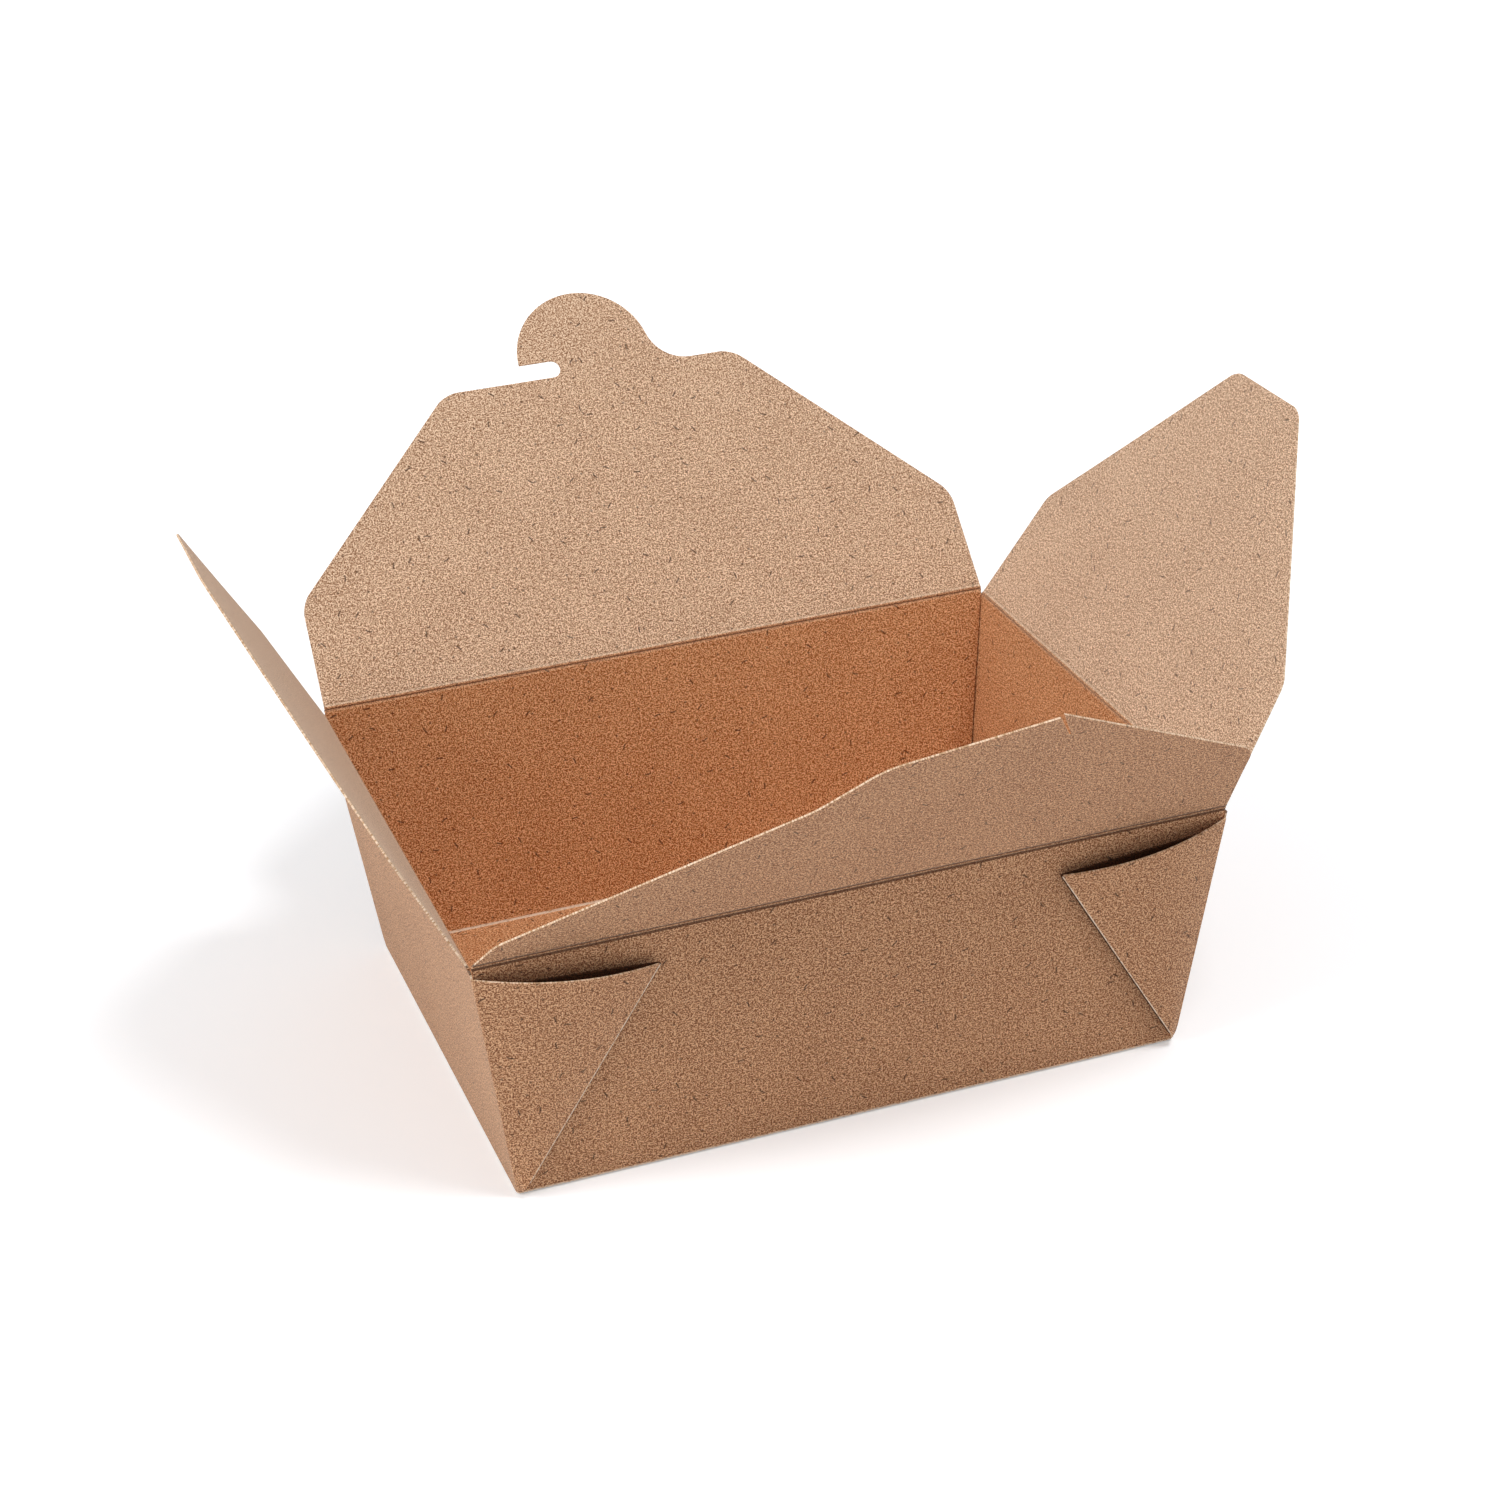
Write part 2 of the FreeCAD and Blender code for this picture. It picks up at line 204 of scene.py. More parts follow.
def kraft(
    name, tone, light, dark, wear=0.0, fibres=1.0, sheen=0.3, score="#4C2810", scored=0.85
):
    """Unbleached kraft board: pressed wood fibre, matt, with a fine mottle and stray fibres."""
    material = bpy.data.materials.new(name)
    material.use_nodes = True
    tree = material.node_tree
    add = partial(add_node, tree)
    shader = tree.nodes["Principled BSDF"]
    shader.inputs["Roughness"].default_value = 0.8
    shader.inputs["IOR"].default_value = 1.5
    shader.inputs["Specular IOR Level"].default_value = 0.25
    # Loose fibre ends give the board a pale bloom where it is seen at a flat angle.
    shader.inputs["Sheen Weight"].default_value = sheen
    shader.inputs["Sheen Roughness"].default_value = 0.45
    shader.inputs["Sheen Tint"].default_value = linear("#FAE6D2")
    sheet = add("ShaderNodeUVMap", uv_map="sheet")

    # A mottle of the pressed fibres, a finer grain, and faint clouds.
    mottle = add(
        "ShaderNodeTexNoise", ("Vector", sheet), ("Scale", 1 / MOTTLE_SIZE),
        ("Detail", 3.0), ("Roughness", 0.65),
    )
    grain = add(
        "ShaderNodeTexNoise", ("Vector", sheet), ("Scale", 1 / GRAIN_SIZE),
        ("Detail", 2.0), ("Roughness", 0.5),
    )
    cloud = add(
        "ShaderNodeTexNoise", ("Vector", sheet), ("Scale", 1 / CLOUD_SIZE),
        ("Detail", 2.0), ("Roughness", 0.5),
    )
    # Fibres that lie in the face, in millimetres. Real ones are 20 to 40 micrometres wide, and
    # are drawn about ten times as wide, so that they show.
    pale_fibres = hairs(
        tree, sheet, cell=1.4, length=1.15, width=0.2, share=0.8, bend=0.5, shift=31.0
    )
    brown_fibres = hairs(
        tree, sheet, cell=1.6, length=1.3, width=0.2, share=0.8, bend=-0.6, shift=57.0
    )
    stray_fibres = hairs(
        tree, sheet, cell=8.0, length=1.9, width=0.32, share=0.5, bend=1.4, shift=83.0
    )
    specks = hairs(
        tree, sheet, cell=5.2, length=0.6, width=0.5, share=0.5, bend=0.0, shift=11.0
    )

    # Each pattern is centred on nothing, so that together they spread evenly about the tone.
    shade = 0.5
    for pattern, strength, centre in (
        (mottle, 2.3, 0.5), (grain, 4.4, 0.5), (cloud, 0.2, 0.5),
        (pale_fibres, 0.55 * fibres, 0.1), (brown_fibres, -0.35 * fibres, 0.1),
    ):
        centred = add("ShaderNodeMath", (0, pattern), (1, centre), operation="SUBTRACT")
        shade = add(
            "ShaderNodeMath", (0, centred), (1, strength), (2, shade), operation="MULTIPLY_ADD"
        )
    tones = add("ShaderNodeValToRGB", ("Fac", shade))
    points = tones.color_ramp.elements
    points[0].color = linear(dark)
    points[1].color = linear(light)
    points.new(0.5).color = linear(tone)

    # Stray dark fibres and specks, over the rest.
    faint = add("ShaderNodeMath", (0, specks), (1, 0.8), operation="MULTIPLY")
    strays = add("ShaderNodeMath", (0, stray_fibres), (1, faint), operation="MAXIMUM")
    strength = add("ShaderNodeMath", (0, strays), (1, 0.9 * fibres), operation="MULTIPLY")
    colour = add(
        "ShaderNodeMix", ("Factor", strength), (MIX_A, tones), (MIX_B, linear("#3A1D0B")),
        data_type="RGBA",
    ).outputs[MIX_RESULT]

    # The score beside each flap's fold: a raised line between two grooves, in the given score
    # colour. A dark score colour is painted shade in the grooves; the inside faces take a paler
    # one.
    # The pattern's second coordinate is the distance from the fold, in millimetres.
    far = add("ShaderNodeSeparateXYZ", (0, sheet))
    reach = add("ShaderNodeMath", (0, far.outputs[1]), operation="ABSOLUTE")
    beside = add("ShaderNodeMath", (0, reach), (1, SCORE_PLACE), operation="SUBTRACT")
    apart = add("ShaderNodeMath", (0, beside), operation="ABSOLUTE")
    groove = add(
        "ShaderNodeMapRange", ("Value", apart), ("From Min", GROOVE_FROM),
        ("From Max", GROOVE_TO), ("To Min", 1.0), ("To Max", 0.0),
    )
    depth = add("ShaderNodeMath", (0, groove), (1, scored), operation="MULTIPLY")
    colour = add(
        "ShaderNodeMix", ("Factor", depth), (MIX_A, colour), (MIX_B, linear(score)),
        data_type="RGBA",
    ).outputs[MIX_RESULT]
    if wear:
        # Rubbed or cracked fibre: a pale line, broken along the crease.
        rubbed = add(
            "ShaderNodeTexNoise", ("Vector", sheet), ("Scale", 1 / CRACK_SIZE),
            ("Detail", 3.0), ("Roughness", 0.7),
        )
        cracked = add(
            "ShaderNodeMapRange", ("Value", rubbed), ("From Min", 0.36), ("From Max", 0.54)
        )
        worn = add("ShaderNodeMath", (0, cracked), (1, wear), operation="MULTIPLY")
        colour = add(
            "ShaderNodeMix", ("Factor", worn), (MIX_A, colour), (MIX_B, linear("#F0DCC6")),
            data_type="RGBA",
        ).outputs[MIX_RESULT]
    tree.links.new(colour, shader.inputs["Base Color"])

    height = add("ShaderNodeMath", (0, mottle), (1, grain), operation="ADD")
    height = add(
        "ShaderNodeMath", (0, pale_fibres), (1, 0.3), (2, height), operation="MULTIPLY_ADD"
    )
    height = add("ShaderNodeMath", (0, groove), (1, -1.0), (2, height), operation="MULTIPLY_ADD")
    bump = add("ShaderNodeBump", ("Height", height), ("Strength", 0.8), ("Distance", RELIEF * MM))
    tree.links.new(bump.outputs[0], shader.inputs["Normal"])
    return material


# The face outside the box: a grey-brown kraft.
kraft_outside = kraft("kraft_board_outside", "#B27C55", "#E5B68C", "#6D3D20", sheen=0.4)
# The face inside, as it shows on the open flaps: the same board, paler.
kraft_inside = kraft(
    "kraft_board_inside", "#C29C7E", "#F4D5B6", "#7E5636", sheen=0.9, score="#E8CDB0", scored=0.3
)
# The same face within the tray, painted redder: painted bounce light, standing in for the light
# that wall throws on wall.
kraft_tray_inside_painted_bounce = kraft(
    "kraft_board_tray_inside_painted_bounce", "#CE8D5B", "#F6C697", "#884C24", sheen=0.05,
    score="#E8CDB0", scored=0.2,
)
# The cut edge: torn pale fibre, which reads as a light line round each flap.
kraft_cut = kraft("kraft_board_cut_edge", "#DDBC9C", "#F0D8BE", "#B08A66", fibres=0.4)
# The stretched face on the outside of a crease: rubbed pale.
kraft_crease = kraft("kraft_board_crease", "#D0A682", "#EBC8A6", "#A87C5A", wear=0.9)
# The face inside a crease, where the board cracks and shows a pale line.
kraft_crack = kraft("kraft_board_crack", "#D8B592", "#EAD2B8", "#AC8662", wear=0.85)
# Painted shade: a near-black board colour between a web's layers and under its fold, standing in
# for the shade where almost no light gets in.
kraft_painted_fold_shade = kraft(
    "kraft_board_painted_fold_shade", "#3E2311", "#5C3820", "#251104", fibres=0.3, sheen=0.0
)
FLAP_MATERIALS = (kraft_outside, kraft_inside, kraft_cut, kraft_crease, kraft_crack)
TRAY_MATERIALS = (
    kraft_outside, kraft_tray_inside_painted_bounce, kraft_cut, kraft_crease, kraft_crack, kraft_painted_fold_shade,
)
OUTSIDE, INSIDE, CUT, CREASE, CRACK, PAINTED_SHADE = range(6)


# Finishing: thickness, soft cut edges, and the pattern's coordinates.

def finish_board(
    bm, name, body, nodes=(), thickness=BOARD, offset=-1.0, materials=TRAY_MATERIALS
):
    """Give a drawn sheet its thickness and soft cut edges, and let it ride on its body."""
    bmesh.ops.scale(bm, vec=(MM, MM, MM), verts=bm.verts)
    mesh = bpy.data.meshes.new(name)
    bm.to_mesh(mesh)
    bm.free()
    for material in materials:
        mesh.materials.append(material)
    piece = bpy.data.objects.new(name, mesh)
    bpy.context.scene.collection.objects.link(piece)
    if thickness:
        solid = piece.modifiers.new("thickness", "SOLIDIFY")
        solid.thickness = thickness * MM
        solid.offset = offset
        solid.use_even_offset = True
        solid.use_rim = True
        solid.material_offset = INSIDE
        solid.material_offset_rim = CUT
        soft = piece.modifiers.new("soft_edge", "BEVEL")
        soft.width = SOFT_EDGE * MM
        soft.segments = 2
        soft.limit_method = "ANGLE"
        soft.angle_limit = math.radians(55)
    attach(piece, body)
    if nodes:
        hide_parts(*nodes)
    return piece


def lay_pattern(bm, faces, place):
    """Write the pattern's coordinates, in millimetres on the flat sheet, for some faces."""
    layer = bm.loops.layers.uv.get("sheet") or bm.loops.layers.uv.new("sheet")
    for face in faces:
        for loop in face.loops:
            loop[layer].uv = place(loop.vert.co)


# Tray: the floor, the four walls and the corner webs, drawn as one open surface.

def web_offset(height):
    """How far a web's outer face stands off its wall: nothing at the foot of the corner."""
    share = min(max((height - CORNER_FOOT) / WEB_LIFT, 0.0), 1.0)
    return WEB_STACK * share * (2 - share)


def corner_radius(height):
    """The radius of the upright corner, which starts as the floor crease's."""
    share = min(max((height - CORNER_FOOT) / CORNER_CHANGE, 0.0), 1.0)
    return FLOOR_CREASE_RADIUS + (CORNER_RADIUS - FLOOR_CREASE_RADIUS) * share


def corner_place(height, turn):
    """A point of the rounded front left corner, from the end wall (0) round to the web (90)."""
    rise = FLARE * height / HEIGHT
    if height < FLOOR_STRIP_TOP - 0.001:
        # Within the floor's crease the corner is part of a ball.
        up = 1 - height / FLOOR_CREASE_RADIUS
        radius = FLOOR_CREASE_RADIUS * math.sqrt(max(1 - up * up, 0.0))
        centre_x, centre_y = FLOOR_HALF_X, FLOOR_HALF_Y
    else:
        radius = corner_radius(height)
        centre_x = HALF_LENGTH + rise - radius
        centre_y = HALF_WIDTH + rise + web_offset(height) / math.cos(LEAN) - radius
    x = centre_x + radius * math.cos(turn)
    y = centre_y + radius * math.sin(turn)
    return Vector((-x, -y, height))


def on_front_wall(along, up, out):
    """A point of the front wall's outer face: from its middle, up its slope, and off it."""
    depth = HALF_WIDTH + up * math.sin(LEAN) + out * math.cos(LEAN)
    return Vector((along, -depth, up * math.cos(LEAN) - out * math.sin(LEAN)))


def fold_place(height, turn):
    """A point of the web's slanting fold, from the outer layer (0) round to the inner (180)."""
    distance = height / WEB_TOP * WEB_FOLD_LENGTH
    stack = web_offset(height)
    # The fold turns round a line half the stack inside its outermost line.
    inwards = stack / 2 * (math.sin(turn) - 1)
    along = HALF_LENGTH - distance * math.sin(WEB_FOLD_ANGLE) - inwards * math.cos(WEB_FOLD_ANGLE)
    up = distance * math.cos(WEB_FOLD_ANGLE) - inwards * math.sin(WEB_FOLD_ANGLE)
    lift = stack / 2 * (1 + math.cos(turn)) + WEB_GAP * stack / WEB_STACK + GLUE_LINE
    return on_front_wall(-along, up, lift)


def web_place(height, share):
    """A point of the web's outer layer, from the corner (0) to the slanting fold (1)."""
    start = corner_place(height, math.pi / 2)
    end = fold_place(height, 0.0)
    if end.x < start.x + 0.05:
        return start
    belly = 4 * share * (1 - share)
    bow = belly * WEB_BOW * max(height - WEB_BOW_START, 0) / (WEB_TOP - WEB_BOW_START)
    out = Vector((0.0, -math.cos(LEAN), -math.sin(LEAN)))
    return start.lerp(end, share) + out * bow


def pull(bm, edges, place):
    """Extrude a row of edges; place gives each new vertex its point from its old one."""
    made = bmesh.ops.extrude_edge_only(bm, edges=edges)["geom"]
    verts = {item for item in made if isinstance(item, bmesh.types.BMVert)}
    for vert in verts:
        vert.co = place(vert)
    return [e for e in made if isinstance(e, bmesh.types.BMEdge) and set(e.verts) <= verts]


def crease_up(bm, edge):
    """Turn a rounded crease up from an edge of the floor, and give its last edge."""
    middle = (edge.verts[0].co + edge.verts[1].co) / 2
    outwards = middle.normalized()
    axis = outwards.cross(Vector((0, 0, 1)))
    made = bmesh.ops.spin(
        bm, geom=[edge, *edge.verts], cent=middle + Vector((0, 0, FLOOR_CREASE_RADIUS)),
        axis=axis, dvec=(0, 0, 0), angle=FOLD_TURN, steps=CREASE_STEPS, use_merge=False,
    )["geom_last"]
    return next(item for item in made if isinstance(item, bmesh.types.BMEdge))


def make_tray():
    """Draw the floor, turn its creases up, pull up the walls, and carry the webs round."""
    bm = bmesh.new()
    row = bm.verts.layers.float.new("row")
    bmesh.ops.create_grid(bm, x_segments=1, y_segments=1, size=1)
    bmesh.ops.scale(bm, vec=(FLOOR_HALF_X, FLOOR_HALF_Y, 1), verts=bm.verts)
    sides = {}
    for edge in bm.edges[:]:
        middle = (edge.verts[0].co + edge.verts[1].co) / 2
        if abs(middle.x) > 1:
            name = "right" if middle.x > 0 else "left"
        else:
            name = "back" if middle.y > 0 else "front"
        sides[name] = edge
    tops = {name: crease_up(bm, edge) for name, edge in sides.items()}

    for name, fold in (("front", FRONT_FOLD), ("back", BACK_FOLD)):
        top = fold - WALL_BELOW_FOLD
        rise = FLARE * top / HEIGHT

        def wall_top(vert):
            x = math.copysign(HALF_LENGTH + rise - CORNER_SLIT, vert.co.x)
            return Vector((x, math.copysign(HALF_WIDTH + rise, vert.co.y), top))

        pull(bm, [tops[name]], wall_top)

    for name in ("left", "right"):
        edges = [tops[name]]
        for height in (*WEB_ROWS, END_FOLD - WALL_BELOW_FOLD):

            def wall_row(vert, height=height):
                point = corner_place(height, 0.0)
                x = math.copysign(point.x, vert.co.x)
                return Vector((x, math.copysign(point.y, vert.co.y), height))

            edges = pull(bm, edges, wall_row)

    for sign_x in (-1, 1):
        for sign_y in (-1, 1):
            make_corner(bm, row, sign_x, sign_y)

    bmesh.ops.remove_doubles(bm, verts=bm.verts, dist=0.004)
    bmesh.ops.dissolve_degenerate(bm, dist=0.002, edges=bm.edges)
    bmesh.ops.recalc_face_normals(bm, faces=bm.faces)
    floor = next(f for f in bm.faces if abs(f.calc_center_median().z) < 0.01)
    if floor.normal.z > 0:
        bmesh.ops.reverse_faces(bm, faces=bm.faces)
    paint_tray(bm)
    bm.verts.layers.float.remove(bm.verts.layers.float["row"])
    return finish_board(bm, "tray_sheet", "tray", ["tray"])


def make_corner(bm, row, sign_x, sign_y):
    """Carry an end wall's side edge round the corner as the web, folded back on itself."""
    def mirrored(point):
        return Vector((-point.x * sign_x, -point.y * sign_y, point.z))

    def is_side(edge):
        if not edge.is_boundary:
            return False
        for vert in edge.verts:
            expected = mirrored(corner_place(vert.co.z, 0.0))
            if (vert.co - expected).length > 0.02 or vert.co.z > WEB_TOP + 0.01:
                return False
        return abs(edge.verts[0].co.z - edge.verts[1].co.z) > 0.001

    edges = [edge for edge in bm.edges if is_side(edge)]
    for edge in edges:
        for vert in edge.verts:
            vert[row] = vert.co.z

    for step in range(1, CORNER_STEPS + 1):
        turn = math.pi / 2 * step / CORNER_STEPS
        edges = pull(bm, edges, lambda vert: mirrored(corner_place(vert[row], turn)))
    edges = [e for e in edges if min(v[row] for v in e.verts) > FLOOR_STRIP_TOP - 0.001]
    for column in range(1, WEB_COLUMNS + 1):
        share = column / WEB_COLUMNS
        edges = pull(bm, edges, lambda vert: mirrored(web_place(vert[row], share)))
    edges = [e for e in edges if min(v[row] for v in e.verts) > WEB_LAYER_START]
    for step in range(1, CORNER_STEPS + 1):
        turn = math.pi * step / CORNER_STEPS
        edges = pull(bm, edges, lambda vert: mirrored(fold_place(vert[row], turn)))
        # The fold's first strip is the pale crease; the rest of the fold takes the painted shade.
        for edge in edges:
            edge.link_faces[0].material_index = CREASE if step == 1 else PAINTED_SHADE

    def glued(vert):
        height = vert[row]
        up = (height - WEB_INNER_DROP * height / WEB_TOP) * SLANT / HEIGHT
        along = HALF_LENGTH + FLARE * height / HEIGHT - CORNER_SLIT
        return mirrored(on_front_wall(-along, up, GLUE_LINE))

    # The inner layer, glued to the wall, takes the painted shade on both faces and its cut edge.
    for edge in pull(bm, edges, glued):
        edge.link_faces[0].material_index = PAINTED_SHADE


def paint_tray(bm):
    """Lay the board's pattern panel by panel, and pick out the creases."""
    floor, long_walls, webs, ends = [], [], [], []
    for face in bm.faces:
        middle = face.calc_center_median()
        normal = face.normal
        off_wall = abs(middle.y) - HALF_WIDTH - FLARE * middle.z / HEIGHT
        if abs(normal.z) > 0.75:
            floor.append(face)
        elif abs(normal.x) > abs(normal.y):
            ends.append(face)
        elif off_wall > 0.01 and middle.z > FLOOR_STRIP_TOP:
            webs.append(face)
        else:
            long_walls.append(face)
        if middle.z < FLOOR_STRIP_TOP and abs(normal.z) < 0.999:
            face.material_index = CREASE
    stretch = SLANT / HEIGHT
    lay_pattern(bm, floor, lambda p: (p.x, p.y + 3 * FAR))
    lay_pattern(bm, webs, lambda p: (p.x + FAR * math.copysign(1, p.y), p.z * stretch + FAR * 2))
    lay_pattern(
        bm, long_walls,
        lambda p: (p.x, (p.z - (BACK_FOLD if p.y > 0 else FRONT_FOLD)) * stretch),
    )
    lay_pattern(
        bm, ends,
        lambda p: (p.y + FAR * math.copysign(2, p.x), (p.z - END_FOLD) * stretch),
    )


# Flaps: each is drawn flat as an outline, filled, curled a little and stood on its fold.

class Outline:
    """A flap's outline drawn as a wire, in the flap's own plane: Y is away from the fold."""

    def __init__(self, x, y):
        self.bm = bmesh.new()
        self.tip = self.bm.verts.new((x, y, 0))

    def line(self, x, y):
        self.tip = bmesh.ops.extrude_vert_indiv(self.bm, verts=[self.tip])["verts"][0]
        self.tip.co = (x, y, 0)

    def arc(self, x, y, degrees, steps):
        made = bmesh.ops.spin(
            self.bm, geom=[self.tip], cent=(x, y, 0), axis=(0, 0, 1), dvec=(0, 0, 0),
            angle=math.radians(degrees), steps=steps, use_merge=False,
        )["geom_last"]
        self.tip = next(item for item in made if isinstance(item, bmesh.types.BMVert))

    def fill(self, corners):
        """Close the outline, and round the corners that stand at the given places."""
        bm = self.bm
        bmesh.ops.remove_doubles(bm, verts=bm.verts, dist=0.01)
        bmesh.ops.contextual_create(bm, geom=bm.edges[:])
        for x, y, radius in corners:
            vert = min(bm.verts, key=lambda v: (v.co - Vector((x, y, 0))).length)
            first, second = (e.other_vert(vert).co - vert.co for e in vert.link_edges)
            offset = radius / math.tan(first.angle(second) / 2)
            bmesh.ops.bevel(
                bm, geom=[vert], offset=offset, offset_type="OFFSET", affect="VERTICES",
                segments=8, profile=0.5, material=-1, clamp_overlap=True,
            )
        return bm


def cut_across(bm, step):
    """Cut a flat sheet into squares, so that it can curl."""
    low = [min(v.co[axis] for v in bm.verts) for axis in (0, 1)]
    high = [max(v.co[axis] for v in bm.verts) for axis in (0, 1)]
    for axis in (0, 1):
        normal = Vector((1 - axis, axis, 0))
        count = int((high[axis] - low[axis]) / step)
        for number in range(1, count + 1):
            place = low[axis] + (high[axis] - low[axis]) * number / (count + 1)
            bmesh.ops.bisect_plane(
                bm, geom=bm.verts[:] + bm.edges[:] + bm.faces[:],
                plane_co=normal * place, plane_no=normal, dist=0.01,
            )


def hang_flap(bm, name, facing, half_depth, fold, lean, pattern_shift, curl, reach):
    """Curl a flap, by so much at its reach, then stand it on its fold and lean it out."""
    cut_across(bm, CURL_STEP)
    for vert in bm.verts:
        vert.co.z = curl * (vert.co.y / reach) ** 2
    for face in bm.faces:
        if face.normal.z > 0:
            face.normal_flip()
    lay_pattern(bm, bm.faces, lambda p: (p.x + pattern_shift, p.y))
    depth = half_depth + FLARE * fold / HEIGHT - BOARD / 2
    turned = Matrix.Rotation(math.radians(facing), 4, "Z")
    leaning = Matrix.Rotation(math.radians(90 - lean), 4, "X")
    place = turned @ Matrix.Translation((0, depth, fold)) @ leaning
    bmesh.ops.transform(bm, matrix=place, verts=bm.verts)
    return finish_board(bm, f"{name}_sheet", name, [name], offset=0.0, materials=FLAP_MATERIALS)


def make_back_flap():
    """The large flap: a round hook tab with a hollow on its right and a notch on its left."""
    hook_radius = 17.4
    hollow_radius = 10.0
    notch_width = 4.4
    notch_depth = 10.2
    edge = 74.0
    top = 37.8
    shoulder_x = LONG_ROOT - 0.6
    shoulder_y = 26.5
    hollow_x = math.sqrt((hook_radius + hollow_radius) ** 2 - (notch_width - hollow_radius) ** 2)
    swing = math.degrees(math.atan2(hollow_radius - notch_width, hollow_x))
    neck = notch_depth - hook_radius - notch_width / 2
    draw = Outline(-LONG_ROOT, 0)
    draw.line(LONG_ROOT, 0)
    draw.line(shoulder_x, shoulder_y)
    draw.line(top, edge)
    draw.line(hollow_x, edge)
    draw.arc(hollow_x, edge + hollow_radius, -(90 - swing), 10)
    draw.arc(0, edge + notch_width, 180 - swing, 36)
    draw.line(neck, edge + notch_width)
    draw.arc(neck, edge + notch_width / 2, -180, 12)
    draw.line(-top, edge)
    draw.line(-shoulder_x, shoulder_y)
    draw.line(-LONG_ROOT, 0)
    corners = []
    for sign in (-1, 1):
        corners += [(sign * shoulder_x, shoulder_y, 8.0), (sign * top, edge, 8.0)]
    return hang_flap(
        draw.fill(corners), "back_flap", TO_BACK, HALF_WIDTH, BACK_FOLD, BACK_FLAP_LEAN,
        pattern_shift=0.0, curl=-0.9, reach=95.0,
    )


def make_front_flap():
    """The short flap: a stepped edge, with the narrow slit that takes the hook tab."""
    shoulder = LONG_ROOT - 0.6
    step_shoulder = LONG_ROOT - 4.6
    draw = Outline(-LONG_ROOT, 0)
    for x, y in (
        (LONG_ROOT, 0), (step_shoulder, 7), (17, 36), (4, 47), (-32, 54), (-36, 46),
        (-36.4, 46), (-32.4, 55.2), (-shoulder, 24), (-LONG_ROOT, 0),
    ):
        draw.line(x, y)
    bm = draw.fill([
        (step_shoulder, 7, 6.0), (-shoulder, 24, 6.0), (17, 36, 14.0), (4, 47, 14.0),
    ])
    return hang_flap(
        bm, "front_flap", TO_FRONT, HALF_WIDTH, FRONT_FOLD, FRONT_FLAP_LEAN,
        pattern_shift=FAR, curl=0.0, reach=60.0,
    )


def make_end_flap(name, facing, lean, pattern_shift):
    """A flap on an end wall, which tapers to a short straight edge."""
    shoulder_x = 60.6
    shoulder_y = 29.5
    tip = 14.5
    edge = 81
    draw = Outline(-END_ROOT, 0)
    for x, y in (
        (END_ROOT, 0), (shoulder_x, shoulder_y), (tip, edge),
        (-tip, edge), (-shoulder_x, shoulder_y), (-END_ROOT, 0),
    ):
        draw.line(x, y)
    corners = []
    for sign in (-1, 1):
        corners += [(sign * shoulder_x, shoulder_y, 6.0), (sign * tip, edge, 6.0)]
    return hang_flap(
        draw.fill(corners), name, facing, HALF_LENGTH, END_FOLD, lean,
        pattern_shift=pattern_shift, curl=0.8, reach=81.0,
    )


def make_fold_bead(name, facing, half_depth, fold, half_length):
    """The rolled score of a flap's fold, which joins the wall to the flap at every pose."""
    bm = bmesh.new()
    bmesh.ops.create_cone(
        bm, cap_ends=True, segments=16, radius1=BEAD_RADIUS, radius2=BEAD_RADIUS,
        depth=2 * half_length,
    )
    bmesh.ops.bevel(
        bm, geom=[e for e in bm.edges if abs(e.verts[0].co.z - e.verts[1].co.z) < 0.01],
        offset=BEAD_EDGE, offset_type="OFFSET", affect="EDGES", segments=2, profile=0.5,
        material=-1,
    )
    bmesh.ops.rotate(bm, matrix=Matrix.Rotation(math.pi / 2, 3, "Y"), verts=bm.verts)
    lay_pattern(bm, bm.faces, lambda p: (p.x + FAR, p.z * 2 + FAR))
    depth = half_depth + FLARE * fold / HEIGHT - BOARD / 2
    turned = Matrix.Rotation(math.radians(facing), 4, "Z")
    bmesh.ops.transform(bm, matrix=turned @ Matrix.Translation((0, depth, fold)), verts=bm.verts)
    for face in bm.faces:
        face.smooth = True
    return finish_board(bm, name, "tray", thickness=0)


make_tray()
make_back_flap()
make_front_flap()
make_end_flap("left_end_flap", TO_LEFT, LEFT_FLAP_LEAN, 2 * FAR)
make_end_flap("right_end_flap", TO_RIGHT, RIGHT_FLAP_LEAN, 3 * FAR)
make_fold_bead("back_fold_score", TO_BACK, HALF_WIDTH, BACK_FOLD, LONG_ROOT)
make_fold_bead("front_fold_score", TO_FRONT, HALF_WIDTH, FRONT_FOLD, LONG_ROOT)
make_fold_bead("left_fold_score", TO_LEFT, HALF_LENGTH, END_FOLD, END_ROOT)
make_fold_bead("right_fold_score", TO_RIGHT, HALF_LENGTH, END_FOLD, END_ROOT)


# Floor, light and camera.

def seen_directly(tree):
    """One for rays that show the backdrop to the camera, itself or in gloss or glass."""
    rays = add_node(tree, "ShaderNodeLightPath")
    seen = rays.outputs["Is Camera Ray"]
    for way in ("Is Glossy Ray", "Is Transmission Ray"):
        seen = add_node(
            tree, "ShaderNodeMath", (0, seen), (1, rays.outputs[way]), operation="MAXIMUM"
        )
    return seen


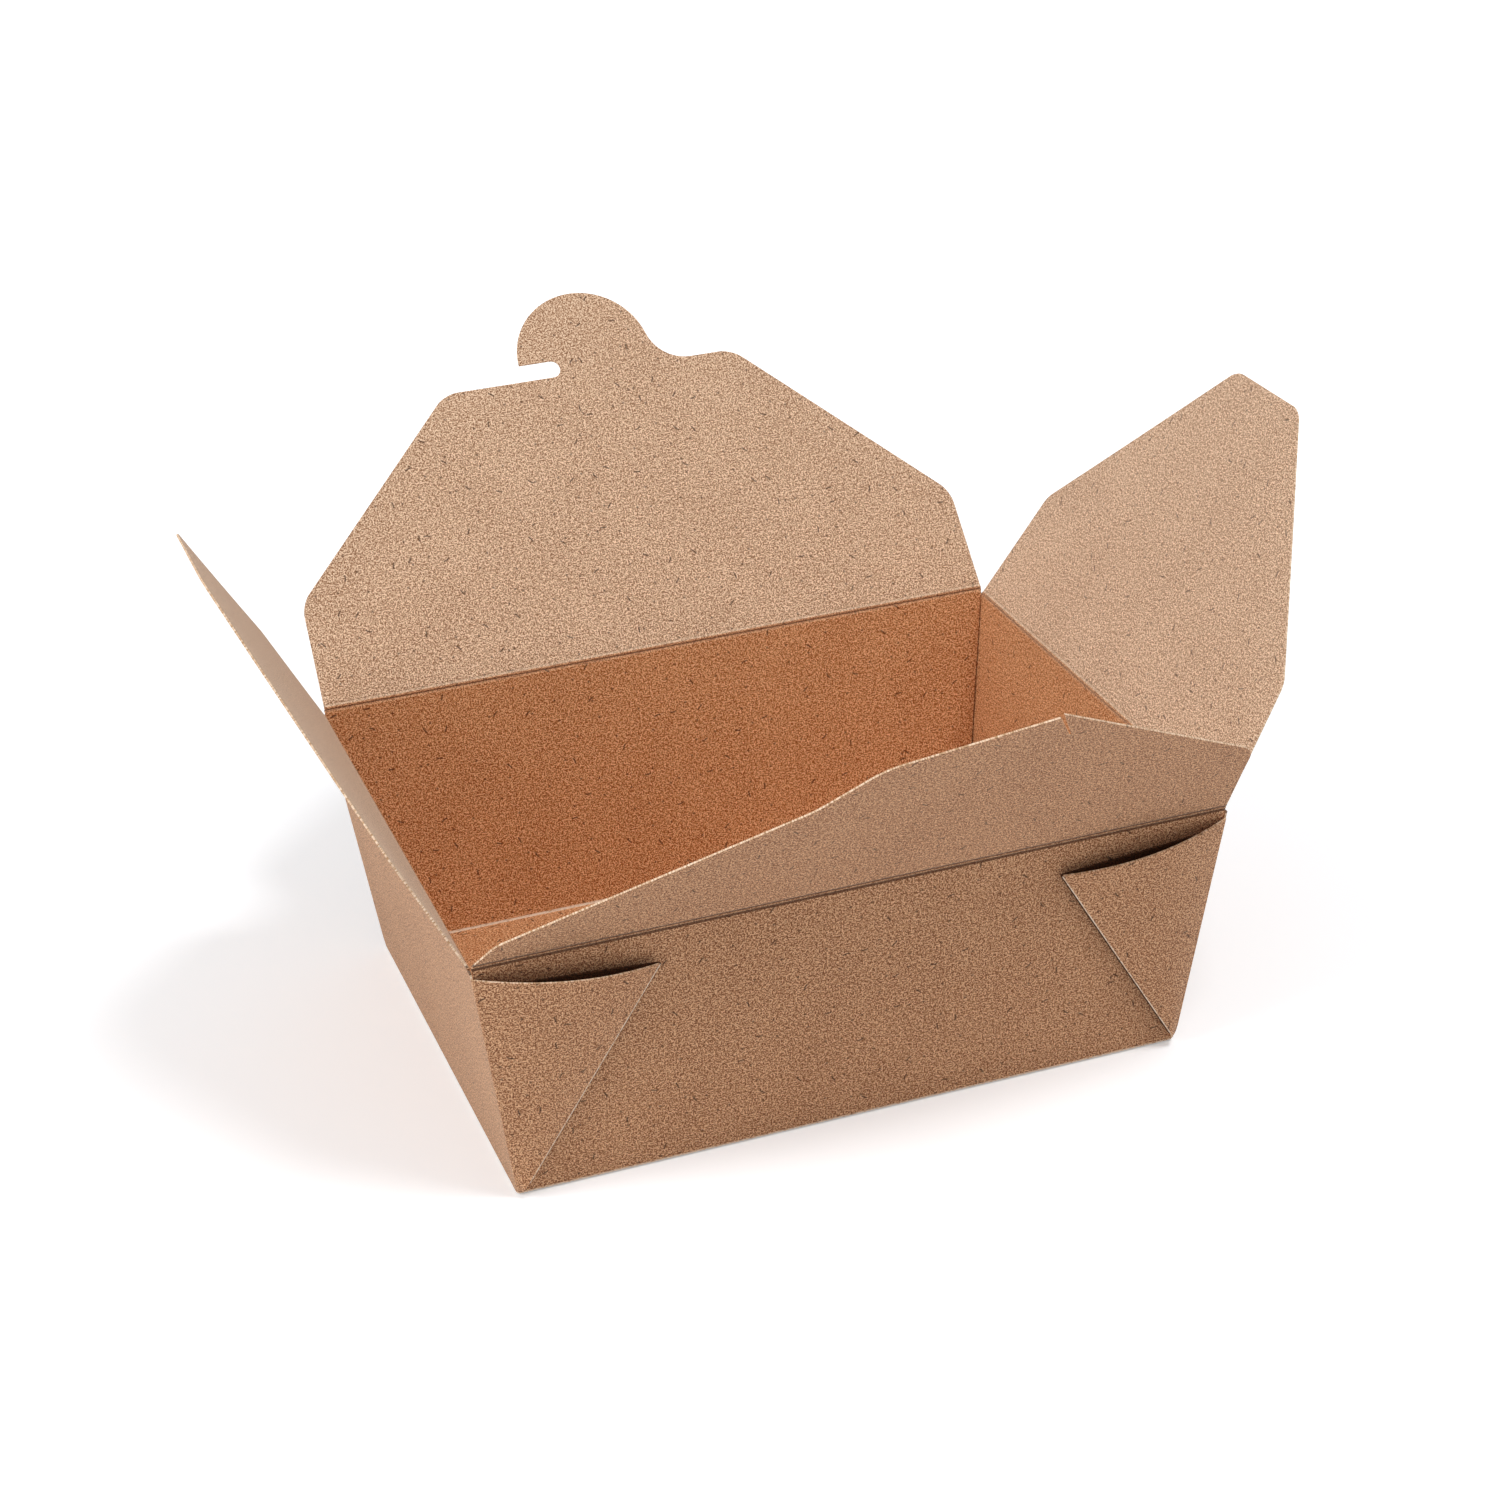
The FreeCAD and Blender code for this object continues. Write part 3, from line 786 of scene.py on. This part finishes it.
def make_floor():
    """A white table top. The camera sees it a little brighter, and more so away from the box."""
    bm = bmesh.new()
    bmesh.ops.create_grid(bm, x_segments=1, y_segments=1, size=FLOOR_HALF_SIZE)
    bmesh.ops.translate(bm, vec=(0, 0, -0.0002), verts=bm.verts)
    mesh = bpy.data.meshes.new("floor")
    bm.to_mesh(mesh)
    bm.free()
    material = bpy.data.materials.new("matt_white_paint")
    material.use_nodes = True
    tree = material.node_tree
    shader = tree.nodes["Principled BSDF"]
    shader.inputs["Base Color"].default_value = linear("#F0F2F5")
    shader.inputs["Roughness"].default_value = 0.95
    shader.inputs["Specular IOR Level"].default_value = 0.0
    place = add_node(tree, "ShaderNodeTexCoord").outputs["Object"]
    away = add_node(tree, "ShaderNodeVectorMath", (0, place), operation="LENGTH")
    brighter = add_node(
        tree, "ShaderNodeMapRange", ("Value", away.outputs["Value"]), ("From Min", GLOW_FROM),
        ("From Max", GLOW_TO), ("To Min", FLOOR_GLOW), ("To Max", FAR_GLOW),
    )
    glow = add_node(
        tree, "ShaderNodeMath", (0, seen_directly(tree)), (1, brighter), operation="MULTIPLY"
    )
    shader.inputs["Emission Color"].default_value = (1, 1, 1, 1)
    tree.links.new(glow.outputs[0], shader.inputs["Emission Strength"])
    mesh.materials.append(material)
    floor = bpy.data.objects.new("floor", mesh)
    bpy.context.scene.collection.objects.link(floor)


def make_world():
    """A plain white room: white to the camera, and a dimmer even light on the box."""
    world = bpy.data.worlds.new("studio")
    bpy.context.scene.world = world
    world.use_nodes = True
    tree = world.node_tree
    background = tree.nodes["Background"]
    background.inputs["Color"].default_value = (1, 1, 1, 1)
    strength = add_node(
        tree, "ShaderNodeMapRange", ("Value", seen_directly(tree)),
        ("To Min", ROOM_LIGHT), ("To Max", 1.0),
    )
    tree.links.new(strength.outputs[0], background.inputs["Strength"])


def make_lamp(name, place, target, size, power):
    """A round softbox, aimed at a point of the box. Places and sizes are in metres."""
    lamp = bpy.data.lights.new(name, "AREA")
    lamp.shape = "DISK"
    lamp.size = size
    lamp.energy = power
    lamp_object = bpy.data.objects.new(name, lamp)
    lamp_object.location = place
    lamp_object.rotation_mode = "QUATERNION"
    aim = Vector(target) - Vector(place)
    lamp_object.rotation_quaternion = aim.to_track_quat("-Z", "Y")
    bpy.context.scene.collection.objects.link(lamp_object)


def make_camera():
    """The photograph's view: from the front, a little left and above, with a slight roll."""
    azimuth, elevation, roll = (math.radians(a) for a in (-18.86, 26.32, -2.59))
    distance = 719.03
    slide_x = -2.32
    slide_y = 28.71
    box_middle = 32
    focal_pixels = 3091.5
    photo_pixels = 1500
    back = Vector((
        math.sin(azimuth) * math.cos(elevation),
        -math.cos(azimuth) * math.cos(elevation),
        math.sin(elevation),
    ))
    level = Vector((0, 0, 1)).cross(back).normalized()
    upright = back.cross(level)
    right = level * math.cos(roll) + upright * math.sin(roll)
    up = upright * math.cos(roll) - level * math.sin(roll)
    place = back * distance + right * slide_x + up * slide_y + Vector((0, 0, box_middle))
    camera = bpy.data.cameras.new("photo_view")
    camera.sensor_width = 36.0
    camera.lens = focal_pixels * camera.sensor_width / photo_pixels
    camera.clip_start = 0.01
    camera.clip_end = 20.0
    holder = bpy.data.objects.new("photo_view", camera)
    turn = Matrix((right, up, back)).transposed().to_4x4()
    holder.matrix_world = Matrix.Translation(place * MM) @ turn
    bpy.context.scene.collection.objects.link(holder)
    bpy.context.scene.camera = holder


make_floor()
make_world()
make_lamp("top_softbox", (0.45, -0.65, 2.0), (0, 0, 0.03), size=0.7, power=21.0)
make_lamp("left_softbox", (-1.35, -0.1, 0.95), (0, 0, 0.07), size=1.0, power=12.0)
make_camera()
bpy.context.scene.view_settings.view_transform = "Standard"
